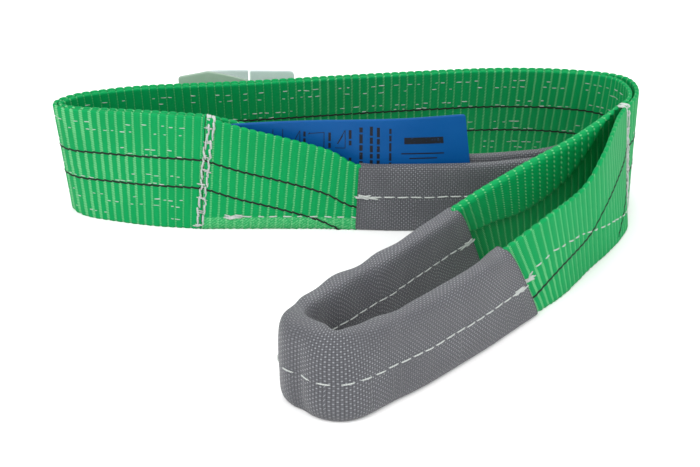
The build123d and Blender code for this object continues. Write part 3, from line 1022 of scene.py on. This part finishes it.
class Sleeve:
    """Flattened tube round an eye: half its thickness, and where it starts and ends."""

    def __init__(self, band, mouths, half, power, dents):
        self.band = band
        self.half = half
        self.power = power
        self.dents = dents
        self.start = band.length_at(mouths[0])
        self.end = band.length_at(mouths[1])

    def outline(self, lengths, turns, lift=0.0):
        """Points on the tube. Turns go round it: 0 outer face, 0.25 top, 0.5 inner face, 0.75 bottom."""
        lengths, turns = grids(lengths, turns)
        angle = 2 * np.pi * turns
        cosine, sine = np.cos(angle), np.sin(angle)
        depth = np.sign(cosine) * np.abs(cosine) ** self.power
        rise = np.sign(sine) * np.abs(sine) ** self.power
        top = self.band.top(lengths)
        push = self.dents(lengths, turns)
        heights = top / 2 + rise * (top / 2 + lift + 0.35 * push)
        depths = depth * (self.half + lift + push)
        return self.band.point(lengths, heights, depths)

    def on_face(self, lengths, heights, lift, side):
        """Points on the outer (side 1) or inner (side -1) face, at heights over the floor."""
        lengths, heights = grids(lengths, heights)
        top = self.band.top(lengths)
        rise = np.clip(2 * heights / top - 1, -0.999, 0.999)
        angle = np.arcsin(np.sign(rise) * np.abs(rise) ** (1 / self.power))
        turns = angle / (2 * np.pi)
        turns = turns if side > 0 else 0.5 - turns
        return self.outline(lengths, turns, lift)


def left_dents(lengths, turns):
    """Slight waves, and ripples where the cloth turns round the tip."""
    tip = left_eye.length_at(12.5)
    ripple = 0.45 * gathered(lengths, tip, 45.0) * np.sin(4 * np.pi * turns + lengths / 4.0)
    return 0.25 * smooth_noise(lengths, 90 * turns, 51, 40.0) + ripple


def hollow(lengths, place, reach):
    """1 at a place on the right eye, falling off quickly on both sides."""
    return np.exp(-((lengths - right_eye.length_at(place)) / reach) ** 2)


def right_dents(lengths, turns):
    """Full faces, folds round the tip, and a bulge where the cloth is pushed out there."""
    near = gathered(lengths, right_eye.length_at(10.7), 60.0)
    outer = 0.5 + 0.5 * np.cos(2 * np.pi * turns)
    upper = 0.5 + 0.5 * np.sin(2 * np.pi * turns)
    bulge = 2.6 * gathered(lengths, right_eye.length_at(10.7), 34.0) * outer
    belly = 2.8 * gathered(lengths, right_eye.length_at(12.6), 24.0) * outer * (1 - upper)
    valleys = 2.3 * hollow(lengths, 11.15, 3.4) * outer ** 2 + 1.3 * hollow(lengths, 9.7, 3.0) * outer
    pinch = 3.0 * (hollow(lengths, 12.1, 4.5) + 0.7 * hollow(lengths, 9.3, 4.0)) * upper ** 5
    lump_rows = np.sin(lengths / 4.7 + 1.5 * outer) * upper ** 2
    lumps = gathered(lengths, right_eye.length_at(7.6), 62.0) * lump_rows
    rim = gathered(lengths, right_eye.length_at(13.6), 30.0) * np.sin(lengths / 4.0) * upper ** 3
    ripple = 0.55 * np.sin(6 * np.pi * turns + lengths / 6.0)
    ripple = ripple + 0.5 * np.sin(2 * np.pi * turns - lengths / 4.5)
    waves = 0.6 * smooth_noise(lengths, 90 * turns, 52, 45.0)
    return waves + 0.8 * near * ripple + bulge + belly - valleys - pinch + 1.1 * lumps + 0.9 * rim


left_tube = Sleeve(left_eye, left_mouths, left_sleeve_half, 0.45, left_dents)
right_tube = Sleeve(right_eye, right_mouths, right_sleeve_half, 0.5, right_dents)


def tube(name, sleeve):
    """Whole sleeve with its wall's thickness, in rings of points a millimetre apart."""
    around = 96
    rings = int(sleeve.end - sleeve.start) + 1
    lengths = np.linspace(sleeve.start, sleeve.end, rings)[:, None]
    turns = (np.arange(around) / around)[None, :]
    turns = turns + 0.028 * np.sin(8 * np.pi * turns)
    outer = sleeve.outline(lengths, turns)
    inner = sleeve.outline(lengths, turns, -sleeve_wall)
    girth = np.linalg.norm(np.diff(np.concatenate([outer, outer[:, :1]], axis=1), axis=1), axis=2)
    across = np.concatenate([np.zeros((len(lengths), 1)), np.cumsum(girth, axis=1)], axis=1)
    across *= np.round(across[:, -1:] / (2 * weave_pitch)) * 2 * weave_pitch / across[:, -1:]
    count = len(lengths)
    points = np.concatenate([outer.reshape(-1, 3), inner.reshape(-1, 3)])
    points[:, 2] = np.maximum(points[:, 2], 0.0)
    faces, corners = [], []
    long = np.repeat(lengths, around + 1, axis=1)
    for layer in range(2):
        base = layer * count * around
        for i in range(count - 1):
            for j in range(around):
                k = (j + 1) % around
                quad = ((i, j, j), (i, k, j + 1), (i + 1, k, j + 1), (i + 1, j, j))
                quad = quad if layer == 0 else quad[::-1]
                faces.append(tuple(base + a * around + b for a, b, _ in quad))
                corners += [(long[a, c], across[a, c]) for a, _, c in quad]
    offset = count * around
    for row, order in ((0, -1), (count - 1, 1)):
        for j in range(around):
            k = (j + 1) % around
            quad = ((row * around + j, j), (offset + row * around + j, j),
                    (offset + row * around + k, j + 1), (row * around + k, j + 1))[::order]
            faces.append(tuple(a for a, _ in quad))
            corners += [(long[row, c], across[row, c]) for _, c in quad]
    piece = add_mesh(name, points, faces)
    layer = piece.data.uv_layers.new(name="cloth")
    layer.data.foreach_set("uv", np.array(corners, np.float32).ravel())
    return piece


def sleeve_stitches(sleeve, start, end, side, pitch, seed):
    """Running stitch along one face of a sleeve."""
    draw = np.random.default_rng(seed)
    lengths = np.arange(start, end, pitch) + pitch / 2
    heights = seam_height + 0.25 * draw.uniform(-1, 1, len(lengths))
    lines = laid(*(sleeve.on_face(lengths + shift, heights, lift, side)
                   for shift, lift in ((-0.5, 0.05), (0.5, 0.05), (0.0, 0.05), (0.0, 0.55))))
    return *lines, np.full(len(lengths), 0.95 * pitch), np.full(len(lengths), 0.34)


def sleeve_knot(sleeve, length, side, seed):
    """Clump of threads that ties a sleeve's mouth."""
    def face(lengths, heights, lift):
        return sleeve.on_face(lengths, heights, lift, side)
    return knot(face, length, seam_height, seed, 16)


sleeves = (
    ("left_eye", left_tube, "left_tip", ("left_front", "left_rear")),
    ("right_eye", right_tube, "right_tip", ("right_far", "right_near")),
)
for name, sleeve, bend, ends in sleeves:
    mouths = tuple(f"{end}_sleeve" for end in ends)
    nodes = mouths + (f"{name}_tip_sleeve", f"{name}_tip_web", f"{name}_tip_hem")
    piece = tube(name + "_sleeve_tube", sleeve)
    dress(piece, sleeve_cloth, nodes, bend)
    seams = [sleeve_stitches(sleeve, sleeve.start + 6, sleeve.end - 6, side, 6.3, 61) for side in (1, -1)]
    nodes = (f"{ends[0]}_sleeve_seam", f"{ends[1]}_sleeve_seam", f"{name}_tip_seam")
    sew(name + "_sleeve_threads", seams, 62, nodes, bend)
    for k, (end, mouth) in enumerate(((ends[0], sleeve.start + 5), (ends[1], sleeve.end - 5))):
        clumps = [sleeve_knot(sleeve, mouth, side, 70 + k) for side in (1, -1)]
        sew(end + "_sleeve_knot", clumps, 63, (end + "_sleeve_tack",), body_name=name)


# ---------------------------------------------------------------- label and tag


def rounded(lengths, start, end, radii):
    """How far rounded upper corners take the top edge down."""
    drop = 0.0
    for distance, radius in ((lengths - start, radii[0]), (end - lengths, radii[1])):
        share = np.clip(1 - distance / radius, 0, 1)
        drop = drop + radius * (1 - np.sqrt(1 - share * share))
    return drop


def sheet(name, band, span, top_edge, wave, seed, offset=0.0):
    """Thin standing sheet with slow waves, from span's start to its end and from its low edge to top_edge."""
    start, end, low = span
    close = np.array([0.1, 0.4, 0.8])
    lengths = np.linspace(start, end, int((end - start) / 1.2) + 1)
    lengths = np.unique(np.concatenate([lengths, start + close, end - close]))[:, None]
    rise = np.linspace(0, 1, sheet_rows)[None, :]
    lengths, heights = np.broadcast_arrays(lengths, low + rise * (top_edge(lengths) - low))
    sway = offset + wave * smooth_noise(lengths, heights, seed, 70.0)
    rows = [band.point(lengths, heights, sway + cloth_thick / 2 * side) for side in (1, -1)]
    points = np.concatenate([rows[0], rows[1][:, ::-1]], axis=1)
    along = np.concatenate([lengths, lengths[:, ::-1]], axis=1)
    across = np.concatenate([heights, heights[:, ::-1]], axis=1)
    around = 2 * rise.size
    faces = ring_faces(len(lengths), around)
    last = (len(lengths) - 1) * around
    for j in range(rise.size - 1):
        cap = (j, around - 1 - j, around - 2 - j, j + 1)
        faces.append(cap)
        faces.append(tuple(last + k for k in cap[::-1]))
    return add_mesh(name, points.reshape(-1, 3), faces, np.stack([along.ravel(), across.ravel()], axis=1))


def label_top(lengths):
    return label_band.top(lengths) - rounded(lengths, 0.0, label_band.total, (1.5, 1.5))


label_piece = sheet("label_cloth_sheet", label_band, (0.0, label_band.total, 1.0), label_top,
                    label_wave, label_seed)
dress(label_piece, label_cloth, ("label_sheet",), body_name="left_eye")


def label_point(lengths, heights):
    """Points on the label's outer face."""
    sway = label_wave * smooth_noise(lengths, heights, label_seed, 70.0)
    return label_band.point(lengths, heights, sway + cloth_thick / 2)


def ink_strokes(name, strokes):
    """Flat printed strokes on the label: (start, low, end, high, width), all in millimetres on the label."""
    points, faces = [], []
    for start, low, end, high, width in strokes:
        size = math.hypot(end - start, high - low)
        count = max(2, int(size / 1.5) + 1)
        share = np.linspace(0, 1, count)
        u = start + share * (end - start)
        v = low + share * (high - low)
        side_u = -(high - low) / size * width / 2
        side_v = (end - start) / size * width / 2
        base = sum(len(k) for k in points)
        edges = [label_point(u + way * side_u, v + way * side_v) for way in (1, -1)]
        out = label_band.normal(u) * ink_thick
        rings = np.stack([edges[0], edges[0] + out, edges[1] + out, edges[1]], axis=1)
        points.append(rings.reshape(-1, 3))
        faces += bar_faces(count, 4, base)
    return add_mesh(name, np.concatenate(points), faces, smooth=False)


def label_strokes():
    """Plain loops and angles like those of a lifting table, columns of plain bars, and one plain bar."""
    draw = np.random.default_rng(91)
    strokes = []
    signs = (
        (25.0, ((0, 0, 0, 10), (4.7, 0, 4.7, 10))),
        (33.4, ((0, 0, 4.6, 0), (4.6, 0, 4.6, 9), (4.6, 9, 0, 0))),
        (42.0, ((0, 7.4, 7.6, 8), (7.6, 8, 7.6, 0), (7.6, 0, 0.8, -0.4), (0, 7, 0.8, 8))),
        (55.0, ((0, 0, 4.8, 0), (4.8, 0, 4.8, 9.4), (4.8, 9.4, 1, 2.2), (1.2, 2, 3.6, 6.4))),
    )
    for left, lines in signs:
        for a, b, c, d in lines:
            strokes.append((left + a, 41.5 + b, left + c, 41.5 + d, 0.3))
    columns = (
        (40.2, 50.0, 43.0, 1.1), (52.3, 49.5, 42.0, 1.2), (62.2, 51.0, 44.0, 1.3), (67.4, 52.5, 30.0, 1.6),
        (72.3, 53.0, 29.0, 1.4), (75.6, 52.5, 29.0, 1.4), (81.3, 52.0, 29.0, 1.1), (62.2, 36.5, 31.0, 1.2),
    )
    for left, high, low, width in columns:
        while high > low:
            size = min(draw.uniform(1.6, 5.2), high - low + 1.0)
            strokes.append((left, high, left, high - size, width))
            high -= size + 0.9
    strokes.append((88.0, 45.6, 107.5, 45.9, 3.4))
    for low, start, end in ((38.9, 86.6, 107.5), (36.4, 90.5, 104.0)):
        strokes.append((start, low, end, low + 0.15, 0.6))
    return strokes


label_marks = ink_strokes("label_marks", label_strokes())
dress(label_marks, label_ink, ("label_print",), body_name="left_eye")


def tag_top(lengths):
    """Upper edge of the tag, a little below the webbing's, with rounded outer corners."""
    sag = np.interp(lengths, [0, diagonal, crease, tag_band.total], [1.9, 1.8, 3.3, 4.6])
    return tag_band.top(lengths) - sag - rounded(lengths, 0.0, tag_band.total, (1.5, 2.5))


def leaf_top(lengths):
    """Upper edge of the front leaf, cut away on the diagonal where the back leaf shows."""
    share = np.clip((lengths - diagonal) / (crease - diagonal), 0, 1)
    return tag_top(lengths) - 5.5 * share


left_span = (0.0, crease - leaf_gap, leaf_low)
left_leaf = sheet("tag_left_cloth", tag_band, left_span, leaf_top, leaf_wave, 82)
behind_span = (diagonal - 3.0, crease - leaf_gap, leaf_low)
behind_leaf = sheet("tag_back_cloth", tag_band, behind_span, tag_top, leaf_wave, 82, -0.7)
right_span = (crease + leaf_gap, tag_band.total, leaf_low)
right_leaf = sheet("tag_right_cloth", tag_band, right_span, tag_top, leaf_wave, 83, -0.3)
dress(behind_leaf, tag_back, ("tag_left_leaf",), body_name="rear_run")
# The front leaf takes the shaded green copy of the tag cloth as painted shade.
dress(left_leaf, tag_in_green_shade, ("tag_left_leaf",), body_name="rear_run")
dress(right_leaf, tag_back, ("tag_right_leaf",), body_name="tag_flap")


def tab_top(lengths):
    """The tab that ties the tag to the webbing is low and as wide as a tape."""
    return tab_height - rounded(lengths, 0.0, tab_band.total, (1.0, 1.0))


tab = sheet("tag_tab_cloth", tab_band, (0.0, tab_band.total, 3.0), tab_top, 0.0, 85)
dress(tab, tag_back, body_name="rear_run")


def tag_threads():
    """Short seam low on the tag, beside its crease."""
    heights = np.arange(4.0, 7.0, 1.3)
    lengths = np.full(len(heights), crease - 2.0)
    before = tag_band.point(lengths - 1.0, heights, 0.3)
    after = tag_band.point(lengths + 1.0, heights, 0.3)
    middle = (before + after) / 2
    lines = laid(before, after, middle, middle + tag_band.normal(lengths) / 2)
    return *lines, np.full(len(heights), 2.4), np.full(len(heights), 0.35)


sew("tag_threads", [tag_threads()], 84, ("tag_seam",), body_name="rear_run")


# ---------------------------------------------------------------- floor, light and camera


def add_floor():
    points = [(-4000, -4000, 0), (4000, -4000, 0), (4000, 4000, 0), (-4000, 4000, 0)]
    floor = add_mesh("floor", points, [(0, 1, 2, 3)], smooth=False)
    floor.data.materials.append(floor_material())


def add_light(name, place, size, power):
    """Square soft light that faces the middle of the object."""
    data = bpy.data.lights.new(name, "AREA")
    data.size = size
    data.energy = power
    lamp = bpy.data.objects.new(name, data)
    lamp.location = place
    target = np.array([0.0, 0.0, 0.03]) - np.array(place)
    lamp.rotation_euler = mathutils.Vector(target).to_track_quat("-Z", "Y").to_euler()
    bpy.context.scene.collection.objects.link(lamp)


def add_camera():
    """Long lens, from the front and about 30 degrees above."""
    data = bpy.data.cameras.new("camera")
    data.sensor_width = 36.0
    data.lens = 82.29
    data.clip_start = 0.05
    camera = bpy.data.objects.new("camera", data)
    camera.location = (0.00025, -0.6307, 0.385)
    target = mathutils.Vector((0.00025, 0.0361, 0.0)) - camera.location
    camera.rotation_euler = target.to_track_quat("-Z", "Y").to_euler()
    bpy.context.scene.collection.objects.link(camera)
    bpy.context.scene.camera = camera


add_floor()
add_light("key", (-0.6, -0.7, 1.1), 0.9, 14.0)
add_light("fill", (0.9, -0.6, 0.9), 1.0, 9.0)
add_light("back", (0.1, 1.0, 1.0), 1.0, 8.0)
world = bpy.data.worlds.new("studio")
world.use_nodes = True
world.node_tree.nodes["Background"].inputs[0].default_value = (1.0, 1.0, 1.0, 1.0)
world.node_tree.nodes["Background"].inputs[1].default_value = 0.85
bpy.context.scene.world = world
bpy.context.scene.view_settings.view_transform = "Standard"
add_camera()

bpy.context.view_layer.update()
